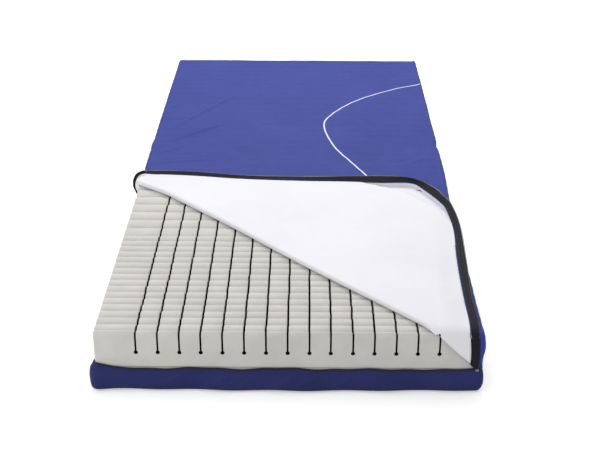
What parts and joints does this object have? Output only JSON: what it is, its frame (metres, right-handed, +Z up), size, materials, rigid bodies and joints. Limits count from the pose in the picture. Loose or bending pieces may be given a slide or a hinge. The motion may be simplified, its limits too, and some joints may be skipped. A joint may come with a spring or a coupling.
{
  "type": "pressure relief mattress",
  "caption": "Two-layer foam mattress with slit, castellated cells in a zipped two-tone cover, one foot corner of the cover folded back.",
  "frame": {"origin": "middle of the underside: halfway across the width and halfway between the foot end and the head end", "axes": "+Z up, +Y from the foot end to the head end, +X to the right of someone who stands at the foot end and looks at the mattress"},
  "size_m": [0.9159, 1.9757, 0.1658],
  "materials": {
    "cover_fabric": "satin",
    "cover_lining": "satin",
    "base_fabric": "satin",
    "cell_foam": "matte",
    "firm_foam": "matte",
    "zip_tape": "matte",
    "zip_teeth": "satin",
    "slider_metal": "satin"
  },
  "bodies": {
    "seat_section": {"seat_base_foam": "firm_foam", "seat_cell_foam": "cell_foam", "seat_base_cover": "base_fabric", "seat_top_cover": "cover_fabric", "seat_lower_zip_tape": "zip_tape", "seat_lower_zip_teeth": "zip_teeth", "seat_upper_zip_tape": "zip_tape", "seat_upper_zip_teeth": "zip_teeth"},
    "leg_section": {"leg_base_foam": "firm_foam", "leg_cell_foam": "cell_foam", "leg_base_cover": "base_fabric", "leg_top_cover": "cover_fabric", "leg_lower_zip_tape": "zip_tape", "leg_lower_zip_teeth": "zip_teeth", "leg_upper_zip_tape": "zip_tape", "leg_upper_zip_teeth": "zip_teeth", "zip_end_stop": "slider_metal"},
    "back_section": {"back_base_foam": "firm_foam", "back_cell_foam": "cell_foam", "back_base_cover": "base_fabric", "back_top_cover": "cover_fabric", "back_lower_zip_tape": "zip_tape", "back_lower_zip_teeth": "zip_teeth", "back_upper_zip_tape": "zip_tape", "back_upper_zip_teeth": "zip_teeth"},
    "cover_flap": {"flap_sheet": "cover_lining"},
    "flap_side_wall": {"flap_side_panel": "cover_lining", "flap_side_zip_tape": "zip_tape", "flap_side_zip_teeth": "zip_teeth"},
    "flap_end_wall": {"flap_end_panel": "cover_lining", "flap_end_zip_tape": "zip_tape", "flap_end_zip_teeth": "zip_teeth"},
    "side_gusset_fold": {"side_gusset": "cover_lining", "side_gusset_zip_tape": "zip_tape", "side_gusset_zip_teeth": "zip_teeth"},
    "corner_gusset_fold": {"corner_gusset": "cover_lining", "corner_gusset_zip_tape": "zip_tape", "corner_gusset_zip_teeth": "zip_teeth"},
    "slider": {"zip_slider": "slider_metal"},
    "pull_tab": {"zip_pull_tab": "slider_metal"}
  },
  "joints": [
    {"name": "leg_raise", "type": "hinge", "parent": "seat_section", "child": "leg_section", "pos_m": [0, 0.052, 0.1525], "axis": [-1, 0, 0], "range_deg": [0, 40]},
    {"name": "back_raise", "type": "hinge", "parent": "seat_section", "child": "back_section", "pos_m": [0, 0.248, 0.1525], "axis": [1, 0, 0], "range_deg": [0, 70]},
    {"name": "flap_fold", "type": "hinge", "parent": "leg_section", "child": "cover_flap", "pos_m": [-0.052, -0.575, 0.158], "axis": [0.6874, -0.7263, 0], "range_deg": [0, 180]},
    {"name": "side_wall_fold", "type": "hinge", "parent": "cover_flap", "child": "flap_side_wall", "pos_m": [-0.03062, -0.18759, 0.164], "axis": [0.9985, -0.0551, 0], "range_deg": [0, 90]},
    {"name": "end_wall_fold", "type": "hinge", "parent": "cover_flap", "child": "flap_end_wall", "pos_m": [0.35738, -0.59759, 0.164], "axis": [-0.0551, -0.9985, 0], "range_deg": [0, 90]},
    {"name": "side_gusset_turn", "type": "hinge", "parent": "leg_section", "child": "side_gusset_fold", "pos_m": [-0.4405, -0.165, 0.152], "axis": [0, -0.7263, 0.6874], "range_deg": [0, 180]},
    {"name": "corner_gusset_turn", "type": "hinge", "parent": "leg_section", "child": "corner_gusset_fold", "pos_m": [0.336, -0.9855, 0.152], "axis": [0.6874, 0, -0.7263], "range_deg": [0, 180]},
    {"name": "zip_slide", "type": "slide", "parent": "leg_section", "child": "slider", "axis": [0, -1, 0], "range_m": [0, 0.89]},
    {"name": "pull_tab_swing", "type": "hinge", "parent": "slider", "child": "pull_tab", "pos_m": [-0.4441, -0.06901, 0.06], "axis": [0, 0, 1], "range_deg": [0, 180]}
  ],
  "couplings": [
    {"joint": "side_wall_fold", "follows": "flap_fold", "ratio": 0.5},
    {"joint": "end_wall_fold", "follows": "flap_fold", "ratio": 0.5},
    {"joint": "side_gusset_turn", "follows": "flap_fold", "ratio": 1},
    {"joint": "corner_gusset_turn", "follows": "flap_fold", "ratio": 1}
  ]
}
